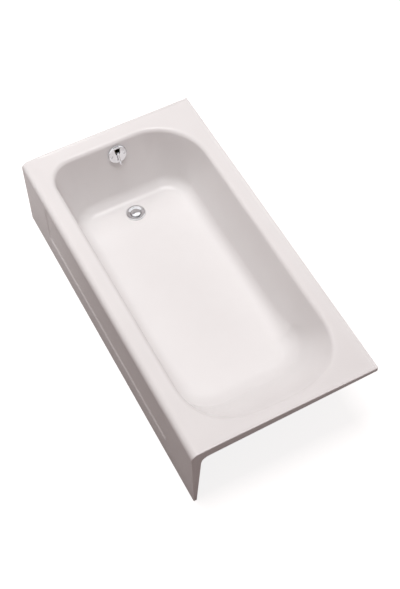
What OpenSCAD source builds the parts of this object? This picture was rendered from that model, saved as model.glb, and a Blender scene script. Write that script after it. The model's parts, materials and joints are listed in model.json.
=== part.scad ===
// Alcove bathtub in enamelled cast iron, with an integral apron,
// levelling feet and a trip-lever pop-up waste and overflow.
// X runs from the drain end to the foot end, Y from the apron to the back wall.

/* [Casting] */
// Length of the bath between the end walls
tub_length = 1524; // [1372:1:1676]
// Width of the bath from the apron to the back wall
tub_width = 768; // [740:1:813]
// Height of the deck above the floor
rim_height = 356; // [345:1:406]
// Thickness of the cast walls
casting_wall = 8; // [6:0.5:9]

/* [Deck] */
// Deck between the drain end and the basin
drain_deck = 74; // [70:1:90]
// Deck between the foot end and the basin
foot_deck = 46; // [40:1:70]
// Deck between the apron and the basin
front_deck = 80; // [76:1:100]
// Deck between the back wall and the basin
back_deck = 68; // [60:1:90]
// Fall of the deck towards the basin
deck_fall = 2; // [1:0.5:4]

/* [Tile bead] */
// Height of the bead above the deck
bead_height = 4; // [3:0.5:16]
// Width of the bead's level top
bead_width = 4; // [4:0.5:20]
// Width of the slope on the bead's inner side
bead_slope = 9; // [8:0.5:12]
// Length beside the apron over which the bead fades into the deck
bead_fade = 106; // [80:1:140]
// Rounding of the bead's top edge at the back wall
bead_round = 3; // [2:0.5:4]
// Rounding of the two back corners, seen from above
back_corner = 6; // [4:1:20]

/* [End flanges] */
// Thickness of the flange under the rim at the back and both ends
flange_wall = 10; // [8:1:13]
// Depth of the flange at the back, from the top of the bead
flange_back_depth = 18; // [16:1:30]
// Depth of the end flange beside the apron, from the deck
flange_front_depth = 42; // [38:1:55]
// Width of the apron's end at the floor
apron_end_foot = 12; // [10:1:16]
// Width of the apron's end under the flange
apron_end_head = 36; // [32:1:50]
// Fillet between the apron's end and the flange
apron_end_fillet = 36; // [25:1:42]

/* [Apron] */
// Thickness of the apron
apron_wall = 8; // [7:0.5:10]
// Rounding between the apron and the deck
apron_roll = 28; // [22:1:34]
// Recessed panel, height of its lower ledge above the floor
panel_foot = 105; // [60:1:140]
// Recessed panel, height of its upper edge above the floor
panel_head = 312; // [280:1:316]
// Recessed panel, distance from each end of the bath
panel_end_gap = 218; // [120:1:300]
// Recessed panel, depth
panel_depth = 5; // [3:0.5:7]
// Recessed panel, corner rounding
panel_corner = 28; // [15:1:45]

/* [Basin] */
// Height of the basin floor above the ground, at the drain
floor_height = 62; // [61:1:80]
// Rise of the basin floor towards the foot end, per 100 mm
floor_pitch = 1; // [0.5:0.1:2]
// Rounding where the deck rolls into the basin
mouth_roll = 22; // [16:1:30]
// Rounding between the walls and the floor
wall_cove = 60; // [40:1:70]
// Rounding between the sloped backrest and the floor
backrest_cove = 110; // [70:1:130]
// How far the drain wall leans in over its height
drain_wall_run = 73; // [50:1:95]
// How far the side walls lean in over their height
side_wall_run = 54; // [35:1:75]
// How far the backrest leans in over its height
backrest_run = 248; // [200:1:290]
// Mouth corner between the drain end and the apron, radius
drain_front_corner = 105; // [80:1:140]
// Mouth corner between the drain end and the back wall, along the bath
drain_back_corner_length = 235; // [160:1:260]
// Mouth corner between the drain end and the back wall, across the bath
drain_back_corner_width = 215; // [140:1:240]
// Length of the bowed foot end of the mouth
foot_bow_length = 266; // [180:1:300]
// Width left straight in the middle of the bowed foot end
foot_bow_flat = 20; // [10:1:60]
// Squareness of the bowed foot end, 2 is an ellipse
foot_bow_power = 2.6; // [2:0.1:3.2]
// Floor corners at the drain end, radius
floor_drain_corner = 105; // [80:1:130]
// Floor corners at the foot end, radius
floor_foot_corner = 135; // [90:1:170]

/* [Drain] */
// Distance of the drain from the drain end of the bath
drain_setback = 239; // [225:1:260]
// Radius of the drain hole in the casting
drain_hole_r = 24.5; // [24.3:0.1:25.5]
// Radius of the recess that takes the drain flange
drain_well_r = 42; // [42:0.5:45]
// Depth of the recess that takes the drain flange
drain_well_depth = 3; // [2:0.5:4]
// Thickness of the casting under the drain flange
drain_seat_wall = 6; // [5:0.5:7]
// Radius of the drain flange
drain_flange_r = 41; // [38:0.5:41.5]
// Radius of the drain flange's threaded barrel
drain_barrel_r = 23.5; // [23:0.1:23.7]
// Radius of the drain flange's throat
drain_throat_r = 20.5; // [19:0.5:20.5]
// Radius of the stopper cap
stopper_r = 22.4; // [21.5:0.1:22.6]
// Height of the dome on the stopper cap
stopper_dome = 4; // [2:0.5:6]

/* [Overflow] */
// Flat wall left between the rim's roll and the overflow plate
overflow_gap = 0.5; // [0.5:0.5:20]
// Radius of the overflow hole in the casting
overflow_hole_r = 31.5; // [31:0.5:33]
// Radius of the overflow plate
plate_r = 42; // [39:0.5:44]
// Height of the overflow plate's upright rim
plate_rim = 7; // [4:0.5:8]
// Rounding between the overflow plate's rim and its face
plate_shoulder = 6; // [4:0.5:6.5]
// Rise of the overflow plate's face above its rounding
plate_dome = 1.5; // [1:0.5:3]
// Thickness of the overflow plate
plate_wall = 1.5; // [1:0.1:2]
// Distance of each plate screw from the plate's centre
screw_offset = 28.5; // [28:0.5:29]

/* [Trip lever] */
// Length of the lever from its pivot to the linkage pin
lever_arm = 34; // [30:1:36]
// Angle that the lever turns through
lever_travel = 26; // [20:1:30]
// Length of the handle below its pivot
lever_handle = 48; // [40:1:52]
// Width of the handle
lever_width = 10; // [8:0.5:11]
// How far the handle's tip stands out beyond its knee
lever_flare = 11; // [0:1:14]
// Radius of the lever's pivot pin
pivot_pin_r = 2; // [1.8:0.1:2.5]
// Radius of the linkage pin and of the clevis pin
link_pin_r = 1.6; // [1.5:0.1:2]

/* [Waste pipes] */
// Outer radius of the waste and overflow tubes
tube_r = 19.05; // [19.05:0.05:20]
// Wall of the tubes
tube_wall = 1.5; // [1:0.1:1.8]
// Wall of the cast waste fittings
fitting_wall = 3.3; // [3:0.1:3.6]
// Height of the tee's outlet mouth above the ground
outlet_height = 1.5; // [1:0.5:3]
// Length of each tube held in its socket
socket_depth = 14; // [10:1:16]
// Thickness of a slip washer
slip_washer = 4; // [3:0.5:5]
// Distance across the flats of a slip nut
slip_nut_flats = 50; // [49:0.5:52]
// Thickness of the rubber gaskets
gasket = 3; // [2:0.5:4]

/* [Linkage] */
// Distance of the rocker's pivot from the drain
rocker_front = 80; // [75:1:90]
// Radius of the rocker arm's wire
rocker_wire_r = 2; // [1.5:0.1:2.5]
// Radius of the linkage rod
rod_r = 3; // [2.5:0.1:3.5]
// Outer radius of the lift spring
spring_r = 9; // [8:0.5:10]
// Radius of the lift spring's wire
spring_wire_r = 1.3; // [1:0.1:1.6]
// Curls in the lift spring
spring_curls = 9; // [6:1:12]
// Length of the lift spring
spring_length = 52; // [44:1:60]

/* [Levelling feet] */
// Distance of each foot from the lengthwise middle of the basin
foot_spread_x = 385; // [300:1:400]
// Distance of each foot from the crosswise middle of the basin
foot_spread_y = 165; // [120:1:175]
// Radius of the levelling bolt
bolt_r = 6; // [5:0.5:7]
// Radius of the boss on the casting
boss_r = 18; // [16:0.5:22]
// Height of the boss's lower face above the ground
boss_foot = 33; // [31:0.5:35]
// Height of the lock nut
lock_nut_height = 9; // [8:0.5:10]
// Distance across the flats of the lock nut
lock_nut_flats = 19; // [17:0.5:22]
// Radius of the foot pad
pad_r = 28; // [24:1:34]
// Thickness of the foot pad's disc
pad_disc = 4; // [3:0.5:5]
// Radius of the ball on the levelling bolt
ball_r = 5; // [4.5:0.1:5.5]

/* [Clearances] */
// Radial clearance of turning and sliding pins
pin_clearance = 0.05; // [0.02:0.01:0.1]
// Radial clearance of tubes in sockets
tube_clearance = 0.1; // [0.05:0.01:0.15]
// Gap between moving pieces that only pass each other
passing_gap = 0.3; // [0.2:0.05:0.5]

/* [Hidden] */
$fn = 64;
enamel = "white";
iron = "dimgray";
chrome = "gainsboro";
brass = "goldenrod";
rubber = "black";
steel = "silver";
// A cut runs this far past the faces that it opens
cut = 5;
// One piece reaches this far into another that it is joined to
bury = 3.5;
// Places where the deck plate starts and where the apron's own deck ends
plate_start = 2 * bury;
apron_deck_end = 4 * bury;

// Places of the casting
end_x = tub_length / 2;
side_y = tub_width / 2;
bead_top = rim_height + bead_height;
mouth_top = rim_height - deck_fall;
mouth_x = [-end_x + drain_deck, end_x - foot_deck];
mouth_y = [-side_y + front_deck, side_y - back_deck];
floor_x = [mouth_x[0] + drain_wall_run, mouth_x[1] - backrest_run];
floor_y = [mouth_y[0] + side_wall_run, mouth_y[1] - side_wall_run];
middle_x = (floor_x[0] + floor_x[1]) / 2;
middle_y = (mouth_y[0] + mouth_y[1]) / 2;
drain_x = -end_x + drain_setback;

// Height of the basin floor at a place along the bath
function floor_z(x) = floor_height + floor_pitch / 100 * (x - drain_x);

// Outlines are four quarters, each a list of points about its own centre
corner_steps = 14;
corner_signs = [[1, 1], [-1, 1], [-1, -1], [1, -1]];
foot_bow_width = (mouth_y[1] - mouth_y[0] - foot_bow_flat) / 2;
mouth_radii = [[foot_bow_length, foot_bow_width],
    [drain_back_corner_length, drain_back_corner_width],
    [drain_front_corner, drain_front_corner],
    [foot_bow_length, foot_bow_width]];
mouth_powers = [foot_bow_power, 2, 2, foot_bow_power];
floor_radii = [[floor_foot_corner, floor_foot_corner],
    [floor_drain_corner, floor_drain_corner],
    [floor_drain_corner, floor_drain_corner],
    [floor_foot_corner, floor_foot_corner]];
floor_powers = [2, 2, 2, 2];

function corner_centre(xs, ys, q, r) = [
    corner_signs[q][0] > 0 ? xs[1] - r[0] : xs[0] + r[0],
    corner_signs[q][1] > 0 ? ys[1] - r[1] : ys[0] + r[1]];
function corner_angles(q) = [for (k = [0:corner_steps]) 90 * (q + k / corner_steps)];
// The angle about the corner's centre at which its outline faces a given way
function facing_angle(r, power, a) =
    let (c = abs(cos(a)), s = abs(sin(a)))
    atan2(pow(s * r[1] / r[0], power / (2 * (power - 1))), pow(c, power / (2 * (power - 1))));
function round_outline(xs, ys, radii, powers) = [for (q = [0:3])
    let (c = corner_centre(xs, ys, q, radii[q]), e = 2 / powers[q])
    for (a = corner_angles(q))
        let (t = facing_angle(radii[q], powers[q], a))
        [c[0] + radii[q][0] * corner_signs[q][0] * pow(cos(t), e),
         c[1] + radii[q][1] * corner_signs[q][1] * pow(sin(t), e)]];
// A rectangle with as many points as the mouth
function square_outline(xs, ys) = [for (q = [0:3])
    let (c = corner_centre(mouth_x, mouth_y, q, mouth_radii[q]),
         h = [corner_signs[q][0] > 0 ? xs[1] - c[0] : c[0] - xs[0],
              corner_signs[q][1] > 0 ? ys[1] - c[1] : c[1] - ys[0]])
    for (a = corner_angles(q))
        let (m = max(abs(cos(a)), abs(sin(a))))
        [c[0] + h[0] * cos(a) / m, c[1] + h[1] * sin(a) / m]];

// The deck falls evenly from the apron's rounding to the basin's
front_lean = atan2(mouth_top - floor_z(middle_x), side_wall_run);
deck_slope = deck_fall / (front_deck - apron_roll - mouth_roll * tan(front_lean / 2));
plate_edge = square_outline([-end_x + flange_wall - bury / 2, end_x - flange_wall + bury / 2],
    [-side_y + apron_roll + plate_start, side_y - flange_wall + bury / 2]);
mouth = round_outline(mouth_x, mouth_y, mouth_radii, mouth_powers);
foot_of_wall = round_outline(floor_x, floor_y, floor_radii, floor_powers);
ring_size = len(mouth);

// The section through the basin wall at one point of the outline
roll_steps = 5;
cove_steps = 6;
facings = [for (q = [0:3]) each corner_angles(q)];
function way_at(i) = [-cos(facings[i]), -sin(facings[i])];
function run_at(i) = (foot_of_wall[i] - mouth[i]) * way_at(i);
function rise_at(i) = mouth_top - floor_z(foot_of_wall[i][0]);
function steepness(i) = atan2(rise_at(i), run_at(i));
// The cove grows from the drain end to the backrest
function cove_at(i) =
    let (along = (foot_of_wall[i][0] - floor_x[0]) / (floor_x[1] - floor_x[0]),
         share = max(0, min(1, (along - 0.75) / 0.25)))
    wall_cove + (backrest_cove - wall_cove) * share;
function roll_point(i, a, r) =
    let (out = mouth_roll * tan(steepness(i) / 2) - r * sin(a), p = mouth[i] - way_at(i) * out)
    [p[0], p[1], mouth_top - mouth_roll + r * cos(a)];
// The floor's pitch comes in along the cove, so that the wall above it stays flat
function cove_point(i, a, r) =
    let (in = cove_at(i) * tan(steepness(i) / 2) - r * sin(a),
         foot = foot_of_wall[i],
         p = foot + way_at(i) * in,
         share = 1 - a / steepness(i))
    [p[0], p[1], floor_z(foot[0] + (p[0] - foot[0]) * share) + cove_at(i) - r * cos(a)];

// Rings from the deck's edge down to the floor, then back up underneath
ring_ids = [0:ring_size - 1];
function upper_rings(skin) = concat(
    [[for (p = plate_edge) [p[0], p[1], rim_height - deck_slope * plate_start - skin]]],
    [for (k = [0:roll_steps]) [for (i = ring_ids)
        roll_point(i, steepness(i) * k / roll_steps, mouth_roll - skin)]],
    [for (k = [0:cove_steps]) [for (i = ring_ids)
        cove_point(i, steepness(i) * (1 - k / cove_steps), cove_at(i) + skin)]]);
show_rings = upper_rings(0);
under_rings = upper_rings(casting_wall);
ring_count = len(show_rings);
function strip(first, second) = [for (i = ring_ids)
    let (j = (i + 1) % ring_size, a = first * ring_size, b = second * ring_size)
    each [[a + i, a + j, b + i], [a + j, b + j, b + i]]];

module basin_and_deck() {
    rings = concat(show_rings, [for (k = [ring_count - 1:-1:0]) under_rings[k]]);
    last = 2 * ring_count - 1;
    polyhedron(
        points = [for (ring = rings) each ring],
        faces = concat(
            [for (k = [0:ring_count - 2]) each strip(k, k + 1)],
            [for (k = [ring_count:last - 1]) each strip(k, k + 1)],
            strip(last, 0),
            [[for (i = [ring_size - 1:-1:0]) (ring_count - 1) * ring_size + i]],
            [[for (i = ring_ids) ring_count * ring_size + i]]),
        convexity = 6);
}

// Points of an arc, in degrees from the first axis
function arc(c, r, from, to, steps = 12) = [for (k = [0:steps])
    let (a = from + (to - from) * k / steps) [c[0] + r * cos(a), c[1] + r * sin(a)]];
// A drawing of Y and Z, given a length along X
module along_x(from, to) {
    translate([from, 0, 0]) rotate([90, 0, 90]) linear_extrude(to - from) children();
}
// A drawing of X and Z, given a thickness along Y
module along_y(from, to) {
    translate([0, to, 0]) rotate([90, 0, 0]) linear_extrude(to - from) children();
}
module rounded_box(xs, ys, r) {
    for (x = [xs[0] + r, xs[1] - r], y = [ys[0] + r, ys[1] - r]) translate([x, y]) circle(r);
    translate([xs[0] + r, ys[0]]) square([xs[1] - xs[0] - 2 * r, ys[1] - ys[0]]);
    translate([xs[0], ys[0] + r]) square([xs[1] - xs[0], ys[1] - ys[0] - 2 * r]);
}
module panel(grow) {
    rounded_box([-end_x + panel_end_gap - grow, end_x - panel_end_gap + grow],
        [panel_foot - grow, panel_head + grow], panel_corner + grow);
}

// Outside of the rim and apron, a block that the cuts below hollow out
module rim_block() {
    intersection() {
        along_x(-end_x, end_x) polygon(concat(
            [[-side_y, 0]],
            arc([-side_y + apron_roll, rim_height - apron_roll], apron_roll, 180, 90),
            [[-side_y + apron_roll + bead_fade, bead_top]],
            arc([side_y - bead_round, bead_top - bead_round], bead_round, 90, 0),
            [[side_y, 0]]));
        linear_extrude(bead_top + cut) union() {
            rounded_box([-end_x, end_x], [-side_y, side_y], back_corner);
            translate([-end_x, -side_y]) square([tub_length, tub_width / 2]);
        }
    }
}

// Everything under the end flanges, behind the apron's ends
module end_window() {
    head_y = -side_y + apron_end_head;
    flange_z = rim_height - flange_front_depth;
    along_x(-end_x - cut, end_x + cut) polygon(concat(
        [[-side_y + apron_end_foot, -cut]],
        arc([head_y + apron_end_fillet, flange_z - apron_end_fillet], apron_end_fillet, 180, 90),
        [[side_y - flange_wall, bead_top - flange_back_depth],
         [side_y + cut, bead_top - flange_back_depth], [side_y + cut, -cut]]));
}

// The space behind the apron, up to the underside of the deck
module apron_hollow() {
    inner_roll = apron_roll - apron_wall;
    inner_y = -side_y + apron_wall;
    inner_z = rim_height - apron_wall;
    difference() {
        along_x(-end_x + flange_wall, end_x - flange_wall) polygon(concat(
            [[inner_y, -cut]],
            arc([inner_y + inner_roll, inner_z - inner_roll], inner_roll, 180, 90),
            [[side_y - flange_wall, inner_z], [side_y - flange_wall, -cut]]));
        along_y(inner_y - cut, inner_y + panel_depth) panel(apron_wall);
    }
}

// The space above the deck and through it, inside the bead's slopes
module between_beads() {
    slope_foot = mouth_top - 1;
    over = bead_slope * cut / (bead_top - slope_foot);
    deck_y = -side_y + apron_roll;
    top_x = end_x - bead_width;
    top_y = side_y - bead_width;
    intersection() {
        along_x(-end_x, end_x) polygon([[deck_y, bead_top + cut], [deck_y, rim_height],
            [deck_y + apron_deck_end, rim_height - deck_slope * apron_deck_end],
            [deck_y + apron_deck_end, -cut], [top_y - bead_slope, -cut],
            [top_y - bead_slope, slope_foot], [top_y + over, bead_top + cut]]);
        along_y(-side_y, side_y) polygon([[-top_x - over, bead_top + cut],
            [-top_x + bead_slope, slope_foot], [-top_x + bead_slope, -cut],
            [top_x - bead_slope, -cut], [top_x - bead_slope, slope_foot],
            [top_x + over, bead_top + cut]]);
    }
}

module rim_and_apron() {
    difference() {
        rim_block();
        end_window();
        apron_hollow();
        between_beads();
        along_y(-side_y - cut, -side_y + panel_depth) panel(0);
    }
}

// The wall at the overflow leans in by this angle
drain_wall_rise = mouth_top - floor_z(floor_x[0]);
wall_lean = atan2(drain_wall_run, drain_wall_rise);
overflow_z = mouth_top - mouth_roll * (1 - sin(wall_lean)) - (plate_r + overflow_gap) * cos(wall_lean);
overflow_x = mouth_x[0] + (mouth_top - overflow_z) * drain_wall_run / drain_wall_rise;
// Places pieces on the drain wall: X out into the basin, Z up the wall
module at_overflow() {
    translate([overflow_x, middle_y, overflow_z]) rotate([0, -wall_lean, 0]) children();
}
module rod_x(r, from, to) {
    translate([from, 0, 0]) rotate([0, 90, 0]) cylinder(r = r, h = to - from);
}
module rod_y(r, length) {
    rotate([90, 0, 0]) cylinder(r = r, h = length, center = true);
}

// Places of the four feet, front ones first
feet = [[middle_x - foot_spread_x, middle_y - foot_spread_y],
    [middle_x - foot_spread_x, middle_y + foot_spread_y],
    [middle_x + foot_spread_x, middle_y - foot_spread_y],
    [middle_x + foot_spread_x, middle_y + foot_spread_y]];
// Vertical places under the drain
well_z = floor_height - drain_well_depth;
drain_boss_foot = well_z - drain_seat_wall;
shoe_top = drain_boss_foot - gasket;
shoe_flange_wall = 4;
shoe_flange_r = drain_hole_r + 11.5;
shoe_cover = 1;
socket_r = tube_r + tube_clearance;
socket_out_r = socket_r + fitting_wall;
waste_height = shoe_top - shoe_cover - socket_out_r;
bolt_top_z = floor_z(feet[0][0]) - casting_wall;

module tub_shell() {
    color(enamel) difference() {
        union() {
            basin_and_deck();
            rim_and_apron();
            for (p = feet) translate([p[0], p[1], boss_foot])
                cylinder(r = boss_r, h = floor_z(p[0]) - bury - boss_foot);
            translate([drain_x, middle_y, drain_boss_foot])
                cylinder(r = drain_well_r + casting_wall, h = well_z - drain_boss_foot);
        }
        translate([drain_x, middle_y, well_z]) cylinder(r = drain_well_r, h = 2 * cut);
        translate([drain_x, middle_y, drain_boss_foot - cut])
            cylinder(r = drain_hole_r, h = 4 * cut);
        at_overflow() rod_x(overflow_hole_r, -casting_wall - cut, cut);
        for (p = feet) translate([p[0], p[1], boss_foot - cut])
            cylinder(r = bolt_r + pin_clearance, h = bolt_top_z + 1 - boss_foot + cut);
    }
}

// Overflow plate, screws and bracket, on the drain wall
face_r = plate_r - plate_shoulder;
dome_r = (pow(face_r, 2) + pow(plate_dome, 2)) / (2 * plate_dome);
plate_top = plate_rim + plate_shoulder + plate_dome;
pad_seat = plate_top / 2;
dome_angle = asin(face_r / dome_r);
screw_r = 2.5;
screw_head_r = 4.6;
screw_head = 2.6;
screw_seat = plate_top - 4.4;
slot_top = 30;
slot_foot = 2;
slot_top_width = 26;
slot_foot_width = 18;
module plate_slot(from, to) {
    along_x(from, to) polygon([[-slot_foot_width / 2, slot_foot], [slot_foot_width / 2, slot_foot],
        [slot_top_width / 2, slot_top], [-slot_top_width / 2, slot_top]]);
}
module at_screws() {
    for (y = [-screw_offset, screw_offset]) translate([0, y, 0]) children();
}
module overflow_plate() {
    inner_chamfer = 3;
    color(chrome) at_overflow() difference() {
        rotate([0, 90, 0]) rotate_extrude($fn = 96) polygon(concat(
            [[0, pad_seat], [plate_r - plate_wall - inner_chamfer, pad_seat],
             [plate_r - plate_wall, pad_seat - inner_chamfer],
             [plate_r - plate_wall, 0], [plate_r, 0]],
            arc([face_r, plate_rim], plate_shoulder, 0, 90 - dome_angle, 8),
            arc([0, plate_top - dome_r], dome_r, 90 - dome_angle, 90, 12)));
        plate_slot(0, plate_top + cut);
        at_screws() rod_x(screw_r + passing_gap, 0, plate_top);
        at_screws() rod_x(screw_head_r + passing_gap, screw_seat, plate_top);
    }
}
flange_back = -casting_wall - gasket;
lug_length = 14;
module overflow_screws() {
    edge = 1;
    rise = screw_head - edge;
    crown_r = (pow(screw_head_r, 2) + pow(rise, 2)) / (2 * rise);
    crown_angle = asin(screw_head_r / crown_r);
    drive_width = 1.2;
    color(chrome) at_overflow() at_screws() difference() {
        rotate([0, 90, 0]) rotate_extrude() polygon(concat(
            [[0, flange_back - lug_length], [screw_r, flange_back - lug_length],
             [screw_r, screw_seat], [screw_head_r, screw_seat]],
            arc([0, screw_seat + screw_head - crown_r], crown_r, 90 - crown_angle, 90, 6)));
        translate([screw_seat + screw_head - drive_width, -drive_width / 2, -2 * screw_head_r])
            cube([2 * drive_width, drive_width, 4 * screw_head_r]);
    }
}

// The trip lever's pivot, in the overflow's own axes and in the bath's
pivot_in = [-6, 4];
pivot_x = overflow_x + pivot_in[0] * cos(wall_lean) - pivot_in[1] * sin(wall_lean);
pivot_z = overflow_z + pivot_in[0] * sin(wall_lean) + pivot_in[1] * cos(wall_lean);
half_travel = lever_travel / 2;
tube_x = pivot_x - lever_arm * (1 + cos(half_travel)) / 2;
link_pin_x = pivot_x - lever_arm * cos(half_travel);
link_pin_z = pivot_z + lever_arm * sin(half_travel);
link_travel = 2 * lever_arm * sin(half_travel);
hub_r = 5;
ear_wall = 1.5;
ear_gap = 0.4;
ear_y = lever_width / 2 + ear_gap;
module lever_bracket() {
    ear_r = pivot_pin_r + 3;
    base_foot = slot_foot - 11;
    color(steel) at_overflow() difference() {
        union() {
            for (y = [-ear_y - ear_wall, ear_y])
                along_y(y, y + ear_wall) union() {
                    polygon([[pivot_in[0], pivot_in[1] + ear_r], [pivot_in[0], pivot_in[1] - ear_r],
                        [pad_seat - ear_wall, base_foot], [pad_seat, base_foot],
                        [pad_seat, pivot_in[1] + ear_r]]);
                    translate([pivot_in[0], pivot_in[1]]) circle(ear_r);
                }
            translate([pad_seat - ear_wall, -ear_y - ear_wall, base_foot])
                cube([ear_wall, 2 * (ear_y + ear_wall), slot_foot - 1 - base_foot]);
        }
        translate([pivot_in[0], 0, pivot_in[1]]) rod_y(pivot_pin_r, 4 * ear_y);
    }
}
module at_pivot() {
    translate([pivot_x, middle_y, pivot_z]) children();
}
module lever_pivot_pin() {
    color(steel) at_pivot() rod_y(pivot_pin_r, 2 * (ear_y + ear_wall + 1));
}

// Trip lever: a handle in front of the plate, a hub, and an arm to the linkage
handle_wall = 3.5;
arm_wall = 4;
arm_height = 6;
module trip_lever() {
    knee_x = plate_top + 5 - pivot_in[0];
    knee_z = 7;
    tip_x = knee_x + lever_flare;
    color(chrome) at_pivot() difference() {
        union() {
            rotate([0, -wall_lean, 0]) intersection() {
                along_y(-lever_width, lever_width) union() {
                    circle(hub_r);
                    polygon([[0, hub_r - 1],
                        [knee_x - 3, knee_z + 2], [knee_x + 1, knee_z], [knee_x + 1, knee_z - 3],
                        [tip_x + handle_wall / 2, -lever_handle + 1], [tip_x, -lever_handle],
                        [tip_x - handle_wall / 2, -lever_handle + 1],
                        [knee_x - handle_wall, knee_z - 6],
                        [knee_x - handle_wall - 2, knee_z - 4], [0, -hub_r + 2]]);
                }
                along_x(-2 * hub_r, tip_x + cut) polygon([[-lever_width / 2, hub_r + cut],
                    [-lever_width / 2, -hub_r - 4], [-lever_width / 3, -lever_handle + 12],
                    [-lever_width / 2.4, -lever_handle + 3], [-lever_width / 4, -lever_handle - 1],
                    [lever_width / 4, -lever_handle - 1], [lever_width / 2.4, -lever_handle + 3],
                    [lever_width / 3, -lever_handle + 12], [lever_width / 2, -hub_r - 4],
                    [lever_width / 2, hub_r + cut]]);
            }
            rotate([0, half_travel, 0]) {
                translate([-lever_arm, -arm_wall / 2, -arm_height / 2])
                    cube([lever_arm, arm_wall, arm_height]);
                translate([-lever_arm, 0, 0]) rod_y(arm_height / 2, arm_wall);
            }
        }
        rod_y(pivot_pin_r + pin_clearance, 2 * lever_width);
        rotate([0, half_travel, 0]) translate([-lever_arm, 0, 0])
            rod_y(link_pin_r, 2 * arm_wall);
    }
}

// Linkage from the lever down to the rocker arm
cheek_wall = 2.4;
cheek_y = arm_wall / 2 + ear_gap;
yoke_half = 5;
yoke_drop = 12;
yoke_foot = 10;
yoke_roof = 1;
link_slack = lever_arm * (1 - cos(half_travel)) + passing_gap;
module at_link(z) {
    translate([tube_x, middle_y, z]) children();
}
module linkage_pin() {
    color(steel) translate([link_pin_x, middle_y, link_pin_z])
        rod_y(link_pin_r, 2 * (cheek_y + cheek_wall + 1));
}
// Two cheeks with a level slot for a pin that also moves sideways by the slack
module cheeks(height, slack) {
    slot_r = link_pin_r + passing_gap;
    for (y = [-cheek_y - cheek_wall, cheek_y]) along_y(y, y + cheek_wall) difference() {
        translate([-yoke_half, -height]) square([2 * yoke_half, height + yoke_half]);
        for (x = [-slack / 2, slack / 2]) translate([x, 0]) circle(slot_r);
        translate([-slack / 2, -slot_r]) square([slack, 2 * slot_r]);
    }
}
module linkage_yoke() {
    color(brass) at_link(link_pin_z) difference() {
        union() {
            cheeks(yoke_drop + yoke_foot / 2, link_slack);
            translate([-yoke_half, -cheek_y - cheek_wall, -yoke_drop - yoke_foot])
                cube([2 * yoke_half, 2 * (cheek_y + cheek_wall), yoke_foot]);
        }
        translate([0, 0, -yoke_drop - yoke_foot - cut])
            cylinder(r = rod_r, h = yoke_foot - yoke_roof + cut);
    }
}

// Rocker arm: a wire that tips on a cross bar at the bottom of the waste tube
rocker_x = drain_x - rocker_front;
rocker_back = rocker_x - tube_x;
rocker_bar_r = 3;
rocker_bar_half = 6;
inner_r = tube_r - tube_wall;
rocker_z = waste_height - sqrt(pow(inner_r, 2) - pow(rocker_bar_half, 2)) + rocker_bar_r
    + passing_gap;
rocker_travel = asin(link_travel / rocker_back);
tail_z = waste_height + link_travel / 2;
tail_r = 4;
front_pin_z = rocker_z + rocker_front * sin(rocker_travel) / 3;
stopper_travel = rocker_front * sin(rocker_travel);
module wire(from, to, r) {
    way = to - from;
    turn = atan2(way[0], way[2]);
    translate([from[0], middle_y, from[2]]) rotate([0, turn, 0]) cylinder(r = r, h = norm(way));
}
module rocker_arm() {
    pivot = [rocker_x, 0, rocker_z];
    tail = [tube_x, 0, tail_z];
    front = [drain_x, 0, front_pin_z];
    eye_r = link_pin_r + 2;
    color(brass) difference() {
        union() {
            wire(tail, pivot, rocker_wire_r);
            wire(pivot, front, rocker_wire_r);
            translate([rocker_x, middle_y, rocker_z]) rod_y(rocker_bar_r, 2 * rocker_bar_half);
            translate([tube_x, middle_y, tail_z]) sphere(tail_r);
            translate([drain_x, middle_y, front_pin_z]) rod_y(eye_r, arm_wall);
        }
        translate([drain_x, middle_y, front_pin_z]) rod_y(link_pin_r, 2 * arm_wall);
    }
}
module clevis_pin() {
    color(steel) translate([drain_x, middle_y, front_pin_z])
        rod_y(link_pin_r, 2 * (cheek_y + cheek_wall + 0.5));
}

// The lift spring stands over the rocker's tail, the rod hangs it from the yoke
spring_foot = tail_z + tail_r + passing_gap;
spring_head = spring_foot + spring_length;
rod_head = link_pin_z - yoke_drop - yoke_roof;
nut_height = 5;
module linkage_rod() {
    collar = 3;
    color(brass) at_link(0) {
        translate([0, 0, spring_head]) cylinder(r = rod_r, h = rod_head - spring_head);
        translate([0, 0, spring_head]) cylinder(r = spring_r, h = collar);
    }
}
module linkage_lock_nut() {
    color(brass) at_link(link_pin_z - yoke_drop - yoke_foot - nut_height) difference() {
        cylinder(r = 2 * rod_r, h = nut_height, $fn = 6);
        translate([0, 0, -cut]) cylinder(r = rod_r, h = nut_height + 2 * cut);
    }
}
// A tube wound about Z, with eight rings to a curl and six sides
spring_rings = 8 * spring_curls;
spring_mid_r = spring_r - spring_wire_r;
spring_climb = (spring_length - 2 * spring_wire_r) / spring_curls;
function spring_centre(k) = [spring_mid_r * cos(45 * k), spring_mid_r * sin(45 * k),
    spring_foot + spring_wire_r + spring_climb * k / 8];
spring_points = [for (k = [0:spring_rings], s = [0:5])
    let (c = spring_centre(k), out = spring_wire_r * cos(60 * s))
    [c[0] + out * cos(45 * k), c[1] + out * sin(45 * k), c[2] + spring_wire_r * sin(60 * s)]];
spring_gap = min([for (k = [0:spring_rings - 8], s = [0:5], t = [0:5])
    norm(spring_points[6 * (k + 8) + s] - spring_points[6 * k + t])]);
echo(spring_gap = spring_gap);
module lift_spring() {
    color(steel) at_link(0) polyhedron(
        points = spring_points,
        faces = concat(
            [[for (s = [0:5]) s]],
            [[for (s = [5:-1:0]) 6 * spring_rings + s]],
            [for (k = [0:spring_rings - 1], s = [0:5])
                let (a = 6 * k + s, b = 6 * k + (s + 1) % 6)
                each [[a, a + 6, b], [b, a + 6, b + 6]]]),
        convexity = 10);
}

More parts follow.
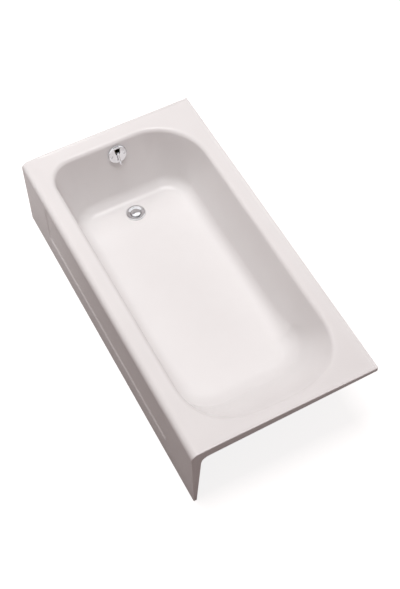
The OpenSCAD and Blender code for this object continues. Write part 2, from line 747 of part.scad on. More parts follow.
// Overflow gasket and elbow, behind the drain wall
elbow_flange_r = plate_r - 2;
elbow_flange_wall = 5;
mouth_r = 27;
head_r = 25;
head_wall = 3.5;
head_top = link_pin_z + yoke_half + head_wall + 7;
head_foot = link_pin_z - link_travel - 39;
elbow_foot = head_foot - head_wall - socket_depth;
module overflow_gasket() {
    color(rubber) at_overflow() difference() {
        rod_x(elbow_flange_r, flange_back, -casting_wall);
        rod_x(overflow_hole_r + 0.5, flange_back - cut, cut);
    }
}
module overflow_elbow() {
    reach = (overflow_x - tube_x) / cos(wall_lean);
    color(brass) difference() {
        union() {
            at_overflow() {
                rod_x(elbow_flange_r, flange_back - elbow_flange_wall, flange_back);
                rod_x(mouth_r, -reach, flange_back);
                at_screws() rod_x(screw_r + 3, flange_back - lug_length, flange_back);
            }
            at_link(head_foot - head_wall)
                cylinder(r = head_r, h = head_top - head_foot + head_wall);
            at_link(elbow_foot) cylinder(r = socket_out_r, h = socket_depth + head_wall);
        }
        at_overflow() rod_x(mouth_r - fitting_wall, -reach, cut);
        at_overflow() at_screws() rod_x(screw_r, flange_back - lug_length - cut, cut);
        at_link(head_foot) cylinder(r = head_r - head_wall, h = head_top - head_wall - head_foot);
        at_link(head_foot - head_wall - cut) cylinder(r = inner_r, h = head_wall + 2 * cut);
        at_link(elbow_foot - cut) cylinder(r = socket_r, h = socket_depth + cut);
    }
}
tube_head = elbow_foot + socket_depth;

// A slip joint opens upwards from z = 0, the end of its socket
nut_gap = 1;
nut_grip = socket_depth - 2 * nut_gap;
nut_lip = 4;
module slip_nut() {
    difference() {
        translate([0, 0, -nut_grip]) cylinder(r = slip_nut_flats / sqrt(3),
            h = nut_grip + slip_washer + nut_lip, $fn = 6);
        translate([0, 0, -nut_grip - cut])
            cylinder(r = socket_out_r, h = nut_grip + slip_washer + cut);
        cylinder(r = socket_r, h = slip_washer + nut_lip + cut);
    }
}
module slip_ring() {
    difference() {
        cylinder(r = socket_out_r - tube_clearance, h = slip_washer);
        translate([0, 0, -cut]) cylinder(r = tube_r, h = slip_washer + 2 * cut);
    }
}
module elbow_slip_nut() {
    color(brass) at_link(elbow_foot) mirror([0, 0, 1]) slip_nut();
}
module elbow_slip_washer() {
    color(rubber) at_link(elbow_foot) mirror([0, 0, 1]) slip_ring();
}

// Waste tee under the overflow tube, with its outlet straight down
tee_out_r = socket_out_r;
chamber_r = inner_r;
tee_shoulder = waste_height + tee_out_r + nut_gap + nut_grip - socket_depth;
tee_head = tee_shoulder + socket_depth;
branch_end = slip_nut_flats / sqrt(3) + nut_gap + nut_grip;
// Turned so that the nut on it has flats above and below
module at_tee_side() {
    translate([tube_x + branch_end, middle_y, waste_height]) rotate([0, 90, 0])
        rotate([0, 0, 30]) children();
}
module waste_tee() {
    outlet_depth = 8;
    color(brass) difference() {
        union() {
            at_link(outlet_height) cylinder(r = tee_out_r, h = tee_head - outlet_height);
            translate([tube_x, middle_y, waste_height]) rod_x(tee_out_r, 0, branch_end);
        }
        at_link(outlet_height + outlet_depth - 1)
            cylinder(r = chamber_r, h = tee_shoulder - outlet_height);
        at_link(tee_shoulder) cylinder(r = socket_r, h = socket_depth + cut);
        at_link(outlet_height - cut) cylinder(r = socket_r, h = outlet_depth + cut);
        translate([tube_x, middle_y, waste_height]) {
            rod_x(chamber_r, 0, branch_end);
            rod_x(socket_r, branch_end - socket_depth, branch_end + cut);
        }
    }
}
module tee_top_nut() {
    color(brass) at_link(tee_head) slip_nut();
}
module tee_top_washer() {
    color(rubber) at_link(tee_head) slip_ring();
}
module tee_side_nut() {
    color(brass) at_tee_side() slip_nut();
}
module tee_side_washer() {
    color(rubber) at_tee_side() slip_ring();
}
module overflow_tube() {
    color(brass) at_link(tee_shoulder) difference() {
        cylinder(r = tube_r, h = tube_head - tee_shoulder);
        translate([0, 0, -cut]) cylinder(r = inner_r, h = tube_head - tee_shoulder + 2 * cut);
    }
}

// Waste tube and shoe, between the tee and the drain
shoe_r = drain_barrel_r + tube_clearance + fitting_wall;
shoe_socket = 46;
shoe_seat = shoe_socket - 20;
waste_tube_from = tube_x + branch_end - socket_depth;
waste_tube_to = drain_x - shoe_seat;
module waste_tube() {
    color(brass) translate([0, middle_y, waste_height]) difference() {
        rod_x(tube_r, waste_tube_from, waste_tube_to);
        rod_x(inner_r, waste_tube_from - cut, waste_tube_to + cut);
    }
}
module waste_shoe() {
    floor_inside = waste_height - inner_r;
    shoe_floor = floor_inside - fitting_wall;
    color(brass) translate([drain_x, middle_y, 0]) difference() {
        union() {
            translate([0, 0, shoe_floor]) cylinder(r = shoe_r, h = shoe_top - shoe_floor);
            translate([0, 0, shoe_top - shoe_flange_wall])
                cylinder(r = shoe_flange_r, h = shoe_flange_wall);
            translate([0, 0, waste_height]) rod_x(socket_out_r, -shoe_socket, 0);
        }
        translate([0, 0, floor_inside])
            cylinder(r = drain_barrel_r + tube_clearance, h = shoe_top);
        translate([0, 0, waste_height]) {
            rod_x(inner_r, -shoe_socket, 0);
            rod_x(tube_r, -shoe_socket - cut, -shoe_seat);
        }
    }
}
module shoe_gasket() {
    color(rubber) translate([drain_x, middle_y, shoe_top]) difference() {
        cylinder(r = shoe_flange_r, h = gasket);
        translate([0, 0, -cut]) cylinder(r = drain_hole_r, h = gasket + 2 * cut);
    }
}

// Drain flange and stopper, turned about the drain's axis
seal_wall = 2;
seat_z = well_z - 2;
flange_rise = 3.2;
barrel_length = 18;
module drain_flange() {
    step_r = stopper_r + 1.1;
    color(chrome) translate([drain_x, middle_y, 0]) rotate_extrude($fn = 96) polygon([
        [drain_throat_r, well_z - barrel_length], [drain_barrel_r, well_z - barrel_length],
        [drain_barrel_r, well_z], [drain_flange_r, well_z],
        [drain_flange_r, well_z + 2], [drain_flange_r - 1, well_z + flange_rise],
        [drain_flange_r - 3, well_z + flange_rise + 0.4],
        [drain_flange_r - 8, well_z + flange_rise + 0.3], [drain_flange_r - 10, well_z + flange_rise - 0.2],
        [step_r + 2.5, well_z + 1.4], [step_r, well_z + 0.9],
        [step_r - 0.9, seat_z + 1.2], [stopper_r, seat_z], [drain_throat_r, seat_z]]);
}
cap_z = seat_z + seal_wall + 0.05;
module stopper_cap() {
    cap_edge = 3;
    cap_r = (pow(stopper_r, 2) + pow(stopper_dome, 2)) / (2 * stopper_dome);
    stud_r = rod_r + 2;
    color(chrome) translate([drain_x, middle_y, cap_z]) difference() {
        union() {
            intersection() {
                translate([0, 0, cap_edge + stopper_dome - cap_r]) sphere(cap_r, $fn = 128);
                cylinder(r = stopper_r - passing_gap, h = cap_edge + stopper_dome);
            }
            translate([0, 0, -seal_wall - 3]) cylinder(r = stud_r, h = seal_wall + 4);
        }
        translate([0, 0, -seal_wall - 3 - cut]) cylinder(r = rod_r, h = seal_wall + 4 + cut);
    }
}
module stopper_seal() {
    color(rubber) translate([drain_x, middle_y, cap_z - seal_wall]) difference() {
        cylinder(r = stopper_r - 2 * passing_gap, h = seal_wall);
        translate([0, 0, -cut]) cylinder(r = rod_r + 2, h = seal_wall + 2 * cut);
    }
}
module stopper_stem() {
    bridge_z = front_pin_z + 9;
    bridge_wall = 4;
    front_slack = rocker_front * (1 - cos(rocker_travel))
        + (front_pin_z - rocker_z) * sin(rocker_travel);
    color(brass) translate([drain_x, middle_y, 0]) {
        translate([0, 0, bridge_z]) cylinder(r = rod_r, h = cap_z + 1 - bridge_z);
        translate([-yoke_half, -cheek_y - cheek_wall, bridge_z])
            cube([2 * yoke_half, 2 * (cheek_y + cheek_wall), bridge_wall]);
        translate([-front_slack / 2, 0, front_pin_z]) mirror([0, 0, 1])
            cheeks(bridge_z - front_pin_z + bridge_wall, front_slack);
    }
}

// Levelling feet: a bolt with a ball end in a pad, and a nut locked against the boss
ball_z = 6.5;
pad_hub = ball_z + ball_r / 2;
drive_foot = pad_hub + 2;
drive_height = 8;
module at_foot(k) {
    translate([feet[k][0], feet[k][1], 0]) children();
}
module foot_lock_nuts() {
    color(steel) for (k = [0:3]) at_foot(k) translate([0, 0, boss_foot - lock_nut_height])
        difference() {
            cylinder(r = lock_nut_flats / sqrt(3), h = lock_nut_height, $fn = 6);
            translate([0, 0, -cut])
                cylinder(r = bolt_r + pin_clearance, h = lock_nut_height + 2 * cut);
        }
}
module levelling_pad(k) {
    color(iron) at_foot(k) difference() {
        union() {
            cylinder(r = pad_r, h = pad_disc);
            cylinder(r = 2 * ball_r, h = pad_hub);
        }
        translate([0, 0, ball_z]) sphere(ball_r + pin_clearance);
    }
}
module levelling_bolt(k) {
    neck_r = ball_r * 0.7;
    color(steel) at_foot(k) {
        translate([0, 0, ball_z]) sphere(ball_r);
        translate([0, 0, ball_z]) cylinder(r = neck_r, h = drive_foot - ball_z);
        translate([0, 0, drive_foot]) cylinder(r = bolt_r * 1.35, h = drive_height, $fn = 6);
        translate([0, 0, drive_foot]) cylinder(r = bolt_r, h = bolt_top_z - drive_foot);
    }
}

tub_shell();
foot_lock_nuts();
overflow_plate();
overflow_screws();
lever_bracket();
lever_pivot_pin();
overflow_gasket();
overflow_elbow();
elbow_slip_nut();
elbow_slip_washer();
overflow_tube();
tee_top_nut();
tee_top_washer();
waste_tee();
tee_side_nut();
tee_side_washer();
waste_tube();
waste_shoe();
shoe_gasket();
drain_flange();
trip_lever();
linkage_pin();
linkage_yoke();
linkage_rod();
linkage_lock_nut();
lift_spring();
rocker_arm();
clevis_pin();
stopper_cap();
stopper_seal();
stopper_stem();
levelling_pad(0);  // drain_front_pad
levelling_pad(1);  // drain_back_pad
levelling_pad(2);  // foot_front_pad
levelling_pad(3);  // foot_back_pad
levelling_bolt(0);  // drain_front_bolt
levelling_bolt(1);  // drain_back_bolt
levelling_bolt(2);  // foot_front_bolt
levelling_bolt(3);  // foot_back_bolt
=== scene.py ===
import json
import math

import bmesh
import bpy
from mathutils import Matrix, Vector


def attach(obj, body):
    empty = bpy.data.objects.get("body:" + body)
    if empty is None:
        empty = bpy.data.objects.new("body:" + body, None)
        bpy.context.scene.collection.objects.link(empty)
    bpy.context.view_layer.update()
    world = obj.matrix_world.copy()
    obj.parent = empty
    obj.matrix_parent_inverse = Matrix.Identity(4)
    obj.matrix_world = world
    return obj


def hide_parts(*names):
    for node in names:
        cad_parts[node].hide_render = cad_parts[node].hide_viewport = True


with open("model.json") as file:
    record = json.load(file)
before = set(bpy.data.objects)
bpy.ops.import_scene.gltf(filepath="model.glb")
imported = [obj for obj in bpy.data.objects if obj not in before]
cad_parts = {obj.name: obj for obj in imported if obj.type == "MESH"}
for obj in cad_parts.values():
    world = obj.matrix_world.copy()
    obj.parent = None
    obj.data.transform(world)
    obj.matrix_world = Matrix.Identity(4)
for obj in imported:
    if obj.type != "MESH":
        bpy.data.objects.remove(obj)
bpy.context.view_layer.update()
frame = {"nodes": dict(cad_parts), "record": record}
print("frame loaded")


# 0 to 1 with a soft start and a soft end
def ease(t):
    t = min(1.0, max(0.0, t))
    return t * t * (3 - 2 * t)


def mix(a, b, t):
    return a + (b - a) * t


# Materials
def nodeMaterial(name):
    material = bpy.data.materials.new(name)
    material.use_nodes = True
    tree = material.node_tree
    shader = tree.nodes["Principled BSDF"]
    return material, tree, shader


def objectNoise(tree, scale, detail=3, roughness=0.5):
    coordinates = tree.nodes.new("ShaderNodeTexCoord")
    noise = tree.nodes.new("ShaderNodeTexNoise")
    noise.inputs["Scale"].default_value = scale
    noise.inputs["Detail"].default_value = detail
    noise.inputs["Roughness"].default_value = roughness
    tree.links.new(coordinates.outputs["Object"], noise.inputs["Vector"])
    return noise.outputs["Fac"]


def colourBetween(tree, factor, low, high):
    ramp = tree.nodes.new("ShaderNodeValToRGB")
    for element, position, colour in zip(ramp.color_ramp.elements, (0.35, 0.65), (low, high)):
        element.position = position
        element.color = (*colour, 1)
    tree.links.new(factor, ramp.inputs["Fac"])
    return ramp.outputs["Color"]


def valueBetween(tree, factor, low, high):
    remap = tree.nodes.new("ShaderNodeMapRange")
    for name, value in (("From Min", 0.3), ("From Max", 0.7), ("To Min", low), ("To Max", high)):
        remap.inputs[name].default_value = value
    tree.links.new(factor, remap.inputs["Value"])
    return remap.outputs["Result"]


def bumpFrom(tree, shader, height, strength, distance):
    bump = tree.nodes.new("ShaderNodeBump")
    bump.inputs["Strength"].default_value = strength
    bump.inputs["Distance"].default_value = distance
    tree.links.new(height, bump.inputs["Height"])
    tree.links.new(bump.outputs["Normal"], shader.inputs["Normal"])


# Broad patches of colour, with a fine grain in the roughness and the bump
def makeMaterial(name, look):
    material, tree, shader = nodeMaterial(name)
    broad = objectNoise(tree, look["patch"])
    fine = objectNoise(tree, look["grain"], 5, 0.6)
    tree.links.new(colourBetween(tree, broad, look["dark"], look["light"]), shader.inputs["Base Color"])
    tree.links.new(valueBetween(tree, fine, *look["roughness"]), shader.inputs["Roughness"])
    shader.inputs["Metallic"].default_value = look["metallic"]
    bumpFrom(tree, shader, fine, look["bump"], look["depth"])
    return material


enamel = makeMaterial("enamel", {
    "dark": (0.778, 0.768, 0.766), "light": (0.793, 0.784, 0.782), "patch": 4, "grain": 60,
    "roughness": (0.22, 0.27), "metallic": 0, "bump": 0.03, "depth": 0.0003})
iron = makeMaterial("iron", {
    "dark": (0.030, 0.030, 0.032), "light": (0.060, 0.058, 0.058), "patch": 14, "grain": 260,
    "roughness": (0.65, 0.85), "metallic": 0.2, "bump": 0.35, "depth": 0.0008})
chrome = makeMaterial("chrome", {
    "dark": (0.76, 0.76, 0.78), "light": (0.80, 0.80, 0.82), "patch": 20, "grain": 500,
    "roughness": (0.05, 0.09), "metallic": 1, "bump": 0.02, "depth": 0.0001})
brass = makeMaterial("brass", {
    "dark": (0.42, 0.27, 0.10), "light": (0.60, 0.42, 0.18), "patch": 30, "grain": 400,
    "roughness": (0.28, 0.45), "metallic": 1, "bump": 0.12, "depth": 0.0003})
rubber = makeMaterial("rubber", {
    "dark": (0.018, 0.018, 0.018), "light": (0.032, 0.031, 0.030), "patch": 40, "grain": 700,
    "roughness": (0.6, 0.75), "metallic": 0, "bump": 0.15, "depth": 0.0003})
steel = makeMaterial("steel", {
    "dark": (0.42, 0.43, 0.46), "light": (0.60, 0.60, 0.60), "patch": 60, "grain": 350,
    "roughness": (0.28, 0.42), "metallic": 1, "bump": 0.08, "depth": 0.0002})
bareIron = makeMaterial("bare_iron", {
    "dark": (0.020, 0.020, 0.022), "light": (0.045, 0.043, 0.042), "patch": 40, "grain": 420,
    "roughness": (0.55, 0.8), "metallic": 0.3, "bump": 0.4, "depth": 0.0006})
finishes = {"enamelled_iron": enamel, "chrome": chrome, "brass": brass, "rubber": rubber,
            "steel": steel, "bare_iron": bareIron}
for part in frame["record"]["subparts"]:
    mesh = frame["nodes"][part["node"]].data
    mesh.materials.clear()
    mesh.materials.append(finishes[part["material_slot"]])
print("materials made")


# Mesh helpers
weldDistance = 2e-6


# A welded, smooth piece whose edges stay sharp over a given angle
def finishMesh(bm, name, materials, sharp=40):
    bmesh.ops.remove_doubles(bm, verts=bm.verts, dist=weldDistance)
    bmesh.ops.recalc_face_normals(bm, faces=bm.faces)
    for face in bm.faces:
        face.smooth = True
    for edge in bm.edges:
        edge.smooth = len(edge.link_faces) == 2 and edge.calc_face_angle(0) < math.radians(sharp)
    mesh = bpy.data.meshes.new(name)
    bm.to_mesh(mesh)
    bm.free()
    piece = bpy.data.objects.new(name, mesh)
    bpy.context.scene.collection.objects.link(piece)
    for material in materials:
        mesh.materials.append(material)
    return piece


# The piece less another, with the other gone
def cutAway(piece, cutter, sharp=40):
    cut = piece.modifiers.new("cut", "BOOLEAN")
    cut.object = cutter
    cut.solver = "EXACT"
    graph = bpy.context.evaluated_depsgraph_get()
    result = bpy.data.meshes.new_from_object(piece.evaluated_get(graph))
    piece.modifiers.remove(cut)
    bm = bmesh.new()
    bm.from_mesh(result)
    materials = list(piece.data.materials)
    name = piece.name
    for spent in (piece, cutter):
        bpy.data.objects.remove(spent)
    return finishMesh(bm, name, materials, sharp)


# New points joined by edges to a closed loop
def closedLoop(bm, points):
    verts = [bm.verts.new(p) for p in points]
    return [bm.edges.new((verts[k], verts[(k + 1) % len(verts)])) for k in range(len(verts))], verts


# A closed outline of radius and height, turned about an axis from a place
def turnOutline(bm, outline, place, axis, steps):
    axis = Vector(axis).normalized()
    aside = axis.orthogonal().normalized()
    loop, verts = closedLoop(bm, [Vector(place) + aside * r + axis * h for r, h in outline])
    bmesh.ops.spin(bm, geom=verts + loop, cent=place, axis=axis, angle=2 * math.pi, steps=steps,
                   use_merge=True)


# Rings of points joined to a closed skin with caps at both ends
def skinRings(bm, rings):
    rows = [[bm.verts.new(p) for p in ring] for ring in rings]
    for first, second in zip(rows, rows[1:]):
        for k in range(len(first)):
            j = (k + 1) % len(first)
            bm.faces.new((first[k], first[j], second[j], second[k]))
    bm.faces.new(list(reversed(rows[0])))
    bm.faces.new(rows[-1])


signs = [(1, 1), (-1, 1), (-1, -1), (1, -1)]
roundSteps = 4


# A rectangle with rounded corners
def roundedSection(halfWidth, halfHeight, radius):
    radius = min(radius, halfWidth * 0.98, halfHeight * 0.98)
    points = []
    for q, (sx, sy) in enumerate(signs):
        for k in range(roundSteps + 1):
            turn = math.radians(90 * (q + k / roundSteps))
            points.append((sx * (halfWidth - radius) + radius * math.cos(turn),
                           sy * (halfHeight - radius) + radius * math.sin(turn)))
    return points


# A smooth way through given points
def smoothWay(points, count):
    spots = [Vector(p) for p in points]
    ends = [spots[0] * 2 - spots[1]] + spots + [spots[-1] * 2 - spots[-2]]
    found = []
    for k in range(count):
        t = k / (count - 1) * (len(spots) - 1)
        j = min(int(t), len(spots) - 2)
        u = t - j
        a, b, c, d = ends[j:j + 4]
        found.append(0.5 * ((2 * b) + (c - a) * u + (2 * a - 5 * b + 4 * c - d) * u ** 2
                            + (3 * b - a - 3 * c + d) * u ** 3))
    return found


# A loop extruded to the next ring of points
def nextRing(bm, edges, verts, points, material):
    made = bmesh.ops.extrude_edge_only(bm, edges=edges)["geom"]
    fresh = {g for g in made if isinstance(g, bmesh.types.BMVert)}
    for face in made:
        if isinstance(face, bmesh.types.BMFace):
            face.material_index = material
    partner = {}
    for vert in fresh:
        for edge in vert.link_edges:
            other = edge.other_vert(vert)
            if other not in fresh:
                partner[other] = vert
    newVerts = [partner[v] for v in verts]
    for vert, point in zip(newVerts, points):
        vert.co = point
    count = len(newVerts)
    return [bm.edges.get((newVerts[k], newVerts[(k + 1) % count])) for k in range(count)], newVerts


# The tub casting. Corners go round from the foot end's back, and pairs are low and high or along and across
tub = {
    "endX": 0.762, "sideY": 0.384, "deckZ": 0.356, "skin": 0.008,
    "mouthX": (-0.688, 0.716), "mouthY": (-0.304, 0.316),
    "floorX": (-0.615, 0.468), "floorY": (-0.250, 0.262),
    "mouthRadii": [(0.266, 0.300), (0.235, 0.215), (0.105, 0.105), (0.266, 0.300)],
    "mouthPowers": [2.6, 2, 2, 2.6],
    "floorRadii": [0.135, 0.105, 0.105, 0.135],
    "deckFall": 0.002, "floorZ": 0.062, "pitch": 0.01,
    "drain": Vector((-0.523, 0.006)), "wellDepth": 0.003, "holeRadius": 0.0245, "seatThick": 0.006,
    "mouthRoll": 0.022, "cove": 0.060, "backrestCove": 0.110, "backrestFrom": 0.70,
    "beadHeight": 0.004, "beadTop": 0.0035, "beadEase": 0.011, "beadFoot": 0.013, "beadFade": 0.106,
    "backCorner": 0.006, "frontCorner": 0.0025, "leastCorner": 0.002, "footRound": 0.002, "deckSlope": 0.059,
    "apronRoll": 0.028, "edgeRound": 0.003, "underRound": 0.0055, "flange": 0.010,
    "flangeBack": 0.342, "flangeFront": 0.314, "endFoot": 0.012, "endHead": 0.036, "endFillet": 0.036,
    "panelHalf": (0.544, 0.1035), "panelMiddle": 0.2085, "panelCorner": 0.028, "panelDepth": 0.005,
    "panelSlope": 0.009,
}
mouthTop = tub["deckZ"] - tub["deckFall"]
underRoll = tub["mouthRoll"] - tub["skin"]
facingSteps = 600
leastColumnGap = 0.006


def floorAt(x):
    return tub["floorZ"] + tub["pitch"] * (x - tub["drain"].x)


def cornerCentre(xs, ys, q, radii):
    sx, sy = signs[q]
    return (xs[1] - radii[0] if sx > 0 else xs[0] + radii[0],
            ys[1] - radii[1] if sy > 0 else ys[0] + radii[1])


# The place on a rounded corner where its outline faces a given way
def facingPoint(xs, ys, q, radii, power, facing):
    cx, cy = cornerCentre(xs, ys, q, radii)
    c, t = math.cos(facing), math.sin(facing)
    if c < 1e-9:
        return Vector((cx, cy + signs[q][1] * radii[1]))
    angle = math.atan((radii[1] / radii[0] * t / c) ** (power / (2 * (power - 1))))
    e = 2 / power
    return Vector((cx + signs[q][0] * radii[0] * math.cos(angle) ** e,
                   cy + signs[q][1] * radii[1] * math.sin(angle) ** e))


# Columns of one corner, from the end of the bath round to its side
def quarterColumns(q, endYs, sideXs, endCount, sideCount):
    sx, sy = signs[q]
    cx, cy = cornerCentre(tub["mouthX"], tub["mouthY"], q, tub["mouthRadii"][q])
    endRun, sideRun = abs(sy * tub["sideY"] - cy), abs(sx * tub["endX"] - cx)
    special = [abs(y - cy) for y in endYs] + [endRun + sideRun - abs(x - cx) for x in sideXs] + [endRun]
    even = [endRun * k / endCount for k in range(endCount)]
    even += [endRun + sideRun * k / sideCount for k in range(1, sideCount + 1)]
    places = special + [e for e in even if e in (0, even[-1]) or
                        all(abs(e - v) > leastColumnGap for v in special)]
    outers = []
    for place in sorted(places):
        if place <= endRun:
            outers.append(Vector((sx * tub["endX"], cy + sy * place)))
        else:
            outers.append(Vector((cx + sx * (sideRun - (place - endRun)), sy * tub["sideY"])))
    r = tub["floorRadii"][q]
    facings = [math.radians(90 * k / facingSteps) for k in range(facingSteps + 1)]
    mouths = [facingPoint(tub["mouthX"], tub["mouthY"], q, tub["mouthRadii"][q], tub["mouthPowers"][q], f)
              for f in facings]
    feet = [facingPoint(tub["floorX"], tub["floorY"], q, (r, r), 2, f) for f in facings]
    travelled = [0]
    for k in range(facingSteps):
        step = (mouths[k + 1] - mouths[k]).length + (feet[k + 1] - feet[k]).length
        travelled.append(travelled[-1] + step)
    found = []
    k = 0
    for j, outer in enumerate(outers):
        goal = travelled[-1] * j / (len(outers) - 1)
        while k < facingSteps - 1 and travelled[k + 1] < goal:
            k += 1
        share = (goal - travelled[k]) / (travelled[k + 1] - travelled[k])
        facing = mix(facings[k], facings[k + 1], share)
        found.append((mouths[k].lerp(mouths[k + 1], share), feet[k].lerp(feet[k + 1], share), outer,
                      Vector((sx * math.cos(facing), sy * math.sin(facing)))))
    return found


def spread(start, end, count):
    return [mix(start, end, k / (count - 1)) for k in range(count)]


# Places on the outline that columns keep to, and the columns all round it
frontEndYs = [-0.3833, -0.3815, -0.3775, -0.372, -0.366, -0.360, -0.354, -0.348, -0.3425, -0.337,
              -0.331, -0.325, -0.3185, -0.312]
backEndYs = [0.3837, 0.3825, 0.3805, 0.378, 0.372, 0.362]
cornerXs = [0.7613, 0.7595, 0.755, 0.748]
backXs = [0.7617, 0.7605, 0.7585, 0.756, 0.750, 0.740]
panelXs = spread(0.505, 0.578, 19)
columns = [
    *quarterColumns(0, backEndYs, backXs, 16, 14), ("straight", 20, []),
    *reversed(quarterColumns(1, backEndYs, [-x for x in backXs], 12, 14)), ("straight", 14, []),
    *quarterColumns(2, frontEndYs, [-x for x in cornerXs], 10, 12), ("straight", 30, [-x for x in panelXs]),
    *reversed(quarterColumns(3, frontEndYs, cornerXs + panelXs[1:], 18, 14)), ("straight", 1, []),
]


# Each straight run filled with columns between its neighbours
def fillStraights(items):
    filled = []
    for k, item in enumerate(items):
        if item[0] != "straight":
            filled.append(item)
            continue
        before, after = filled[-1], items[(k + 1) % len(items)]
        shares = [j / (item[1] + 1) for j in range(1, item[1] + 1)]
        run = after[2].x - before[2].x
        special = [(x - before[2].x) / run for x in item[2]]
        if special:
            shares = [s for s in shares if s < min(special) - 0.01 or s > max(special) + 0.01] + special
        for share in sorted(shares):
            filled.append(tuple(before[j].lerp(after[j], share) for j in range(4)))
    return filled


columns = fillStraights(columns)
columnCount = len(columns)
print("columns", columnCount)


# Moves a point on a rectangle's edge onto the rectangle's rounded corner
def roundedCorner(x, y, halfX, lowY, highY, radius):
    cornerX = math.copysign(halfX, x)
    cornerY = highY if y > 0 else lowY
    nearX, nearY = abs(cornerX - x), abs(cornerY - y)
    if nearX >= radius or nearY >= radius or radius <= 0:
        return x, y
    along = nearY if nearX < 1e-7 else -nearX
    angle = math.radians(45) * (1 - along / radius)
    inX = cornerX - math.copysign(radius, cornerX)
    inY = cornerY - math.copysign(radius, cornerY - (lowY + highY) / 2)
    return (inX + math.copysign(radius * math.cos(angle), cornerX),
            inY + math.copysign(radius * math.sin(angle), cornerY - (lowY + highY) / 2))


# The outer point drawn in to a smaller rectangle, with the same share along each side
def onRectangle(outer, inset, frontInset, backRadius, frontRadius):
    halfX = tub["endX"] - inset
    lowY, highY = -tub["sideY"] + frontInset, tub["sideY"] - inset
    u, v = outer.x / tub["endX"], (outer.y + tub["sideY"]) / (2 * tub["sideY"])
    x, y = u * halfX, mix(lowY, highY, v)
    return roundedCorner(x, y, halfX, lowY, highY, backRadius if outer.y > 0 else frontRadius)


def beadShape(distance):
    return tub["beadHeight"] * (1 - ease((distance - tub["beadTop"]) / tub["beadEase"]))


def edgeDrop(distance):
    r = tub["edgeRound"]
    return 0 if distance >= r else r - math.sqrt(max(0, r * r - (r - distance) ** 2))


# Height of the deck, the bead and the apron's rounding at a place
def showHeight(x, y):
    front = y + tub["sideY"]
    endGap, backGap = tub["endX"] - abs(x), tub["sideY"] - y
    roll = tub["apronRoll"]
    z = tub["deckZ"]
    if front < roll:
        z += math.sqrt(max(0, roll * roll - (roll - front) ** 2)) - roll
    inward = min(max(0, front - roll), *(max(0, gap - tub["beadFoot"]) for gap in (endGap, backGap)))
    z -= min(tub["deckFall"], tub["deckSlope"] * inward)
    fade = ease((front - roll * 0.6) / tub["beadFade"])
    z += max(beadShape(endGap) * fade, beadShape(backGap))
    return z - max(edgeDrop(endGap), edgeDrop(backGap))


# Height of the lower edge of the end flange and of the apron's end
def flangeFoot(y):
    head = -tub["sideY"] + tub["endHead"]
    fillet = tub["endFillet"]
    if y <= -tub["sideY"] + tub["endFoot"]:
        return 0
    if y < head:
        share = (y + tub["sideY"] - tub["endFoot"]) / (tub["endHead"] - tub["endFoot"])
        return (tub["flangeFront"] - fillet) * share
    if y < head + fillet:
        return tub["flangeFront"] - fillet + math.sqrt(max(0, fillet ** 2 - (head + fillet - y) ** 2))
    backY = tub["sideY"] - tub["flange"]
    return mix(tub["flangeFront"], tub["flangeBack"], min(1, (y - head - fillet) / (backY - head - fillet)))


# 0 outside the apron's panel, 1 inside it, with a slope between
def recess(x, z, grow=0.0):
    dx = abs(x) - (tub["panelHalf"][0] + grow) + tub["panelCorner"]
    dz = abs(z - tub["panelMiddle"]) - (tub["panelHalf"][1] + grow) + tub["panelCorner"]
    outside = math.hypot(max(dx, 0), max(dz, 0)) + min(max(dx, dz), 0) - tub["panelCorner"]
    return ease(-outside / tub["panelSlope"])


# Heights of the apron's rows, close together where its panel slopes
frontRows = [0.0, 0.0006, 0.002, 0.006, 0.016, 0.034, 0.056, 0.074, 0.086, 0.093, 0.098, 0.1015, 0.105,
             0.108, 0.111, 0.114, 0.118, 0.123, 0.128, 0.133, 0.140, 0.155, 0.175, 0.200, 0.225, 0.248,
             0.265, 0.276, 0.284, 0.289, 0.294, 0.299, 0.303, 0.306, 0.309, 0.312, 0.316, 0.322, 0.328]
rowShares = [z / frontRows[-1] for z in frontRows]
tiny = 1e-6


# One row of the apron and the end and back flanges, from their foot up to the deck's edge
def skirtRing(share):
    points = []
    rowZ, r = share * frontRows[-1], tub["footRound"]
    inset = r - math.sqrt(max(0, r ** 2 - (r - min(r, rowZ)) ** 2))
    for _, _, outer, _ in columns:
        x, y = onRectangle(outer, inset, inset, tub["backCorner"], tub["frontCorner"])
        head = showHeight(*onRectangle(outer, 0, 0, tub["backCorner"], tub["frontCorner"]))
        foot = flangeFoot(outer.y)
        z = mix(foot, head, share)
        if rowZ <= r:
            z = foot + rowZ
        if outer.y < -tub["sideY"] + tiny:
            y += tub["panelDepth"] * recess(x, z)
        points.append(Vector((x, y, z)))
    return points


# The same row on the inner face of the apron and flanges
def innerRing(share):
    points = []
    for _, _, outer, _ in columns:
        x = max(-tub["endX"] + tub["flange"], min(tub["endX"] - tub["flange"], outer.x))
        y = max(-tub["sideY"] + tub["skin"], min(tub["sideY"] - tub["flange"], outer.y))
        foot = flangeFoot(outer.y)
        z = mix(foot, innerHeight(x, y), share)
        if y <= -tub["sideY"] + tub["skin"] + tiny:
            y += tub["panelDepth"] * recess(x, z, tub["skin"])
        points.append(Vector((x, y, z)))
    return points


# Height of the underside beside the apron and the flanges
def innerHeight(x, y):
    top = tub["deckZ"] - tub["skin"]
    inner = tub["apronRoll"] - tub["skin"]
    frontGap = y + tub["sideY"] - tub["skin"]
    z = top
    if frontGap < inner:
        z = top - inner + math.sqrt(max(0, inner ** 2 - (inner - frontGap) ** 2))
    for gap in (tub["endX"] - abs(x) - tub["flange"], tub["sideY"] - y - tub["flange"]):
        r = tub["underRound"]
        if gap < r:
            z = min(z, top - r + math.sqrt(max(0, r * r - (r - max(0, gap)) ** 2)))
    return z


